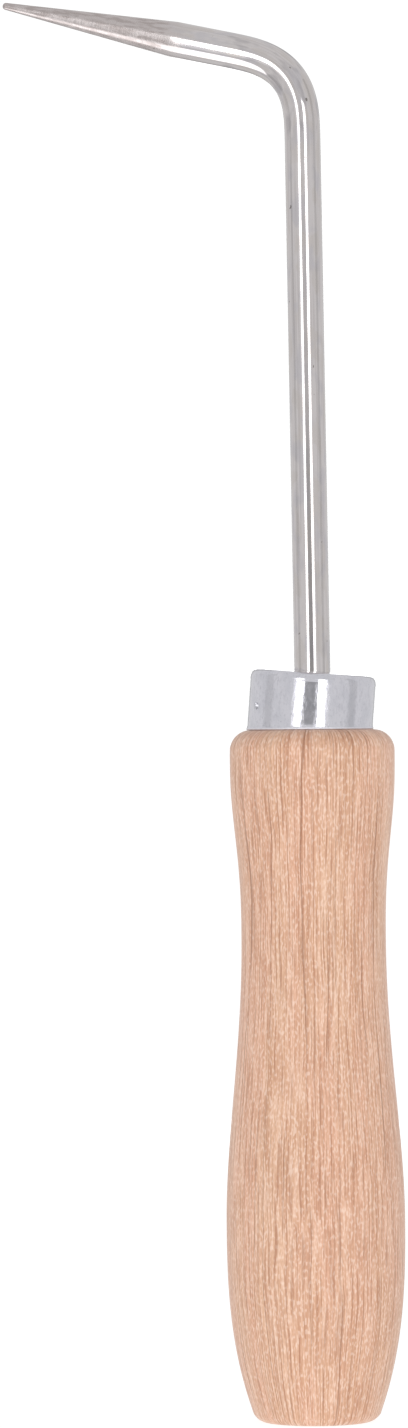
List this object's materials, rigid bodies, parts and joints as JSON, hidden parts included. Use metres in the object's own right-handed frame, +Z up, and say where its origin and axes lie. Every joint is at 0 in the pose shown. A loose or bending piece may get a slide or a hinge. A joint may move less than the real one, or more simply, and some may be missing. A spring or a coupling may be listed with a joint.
{
  "type": "clay modeling tool",
  "caption": "Bent, pointed steel rod held in a turned wooden handle by a pressed metal cap ferrule, for hooking, scoring and hollowing clay.",
  "frame": {"origin": "centre of the flat butt of the handle, which the tool stands on", "axes": "+Z up the handle's axis, -X towards the hook's tip, Y square to the plane of the hook"},
  "size_m": [0.067, 0.0298, 0.2381],
  "materials": {
    "beech": "fine sanded, unvarnished",
    "plated_cap": "bright zinc plate over drawn steel",
    "steel_rod": "polished round bar, satin ground point"
  },
  "bodies": {
    "root": {"handle": "beech", "ferrule": "plated_cap", "hook_rod": "steel_rod"}
  },
  "joints": []
}
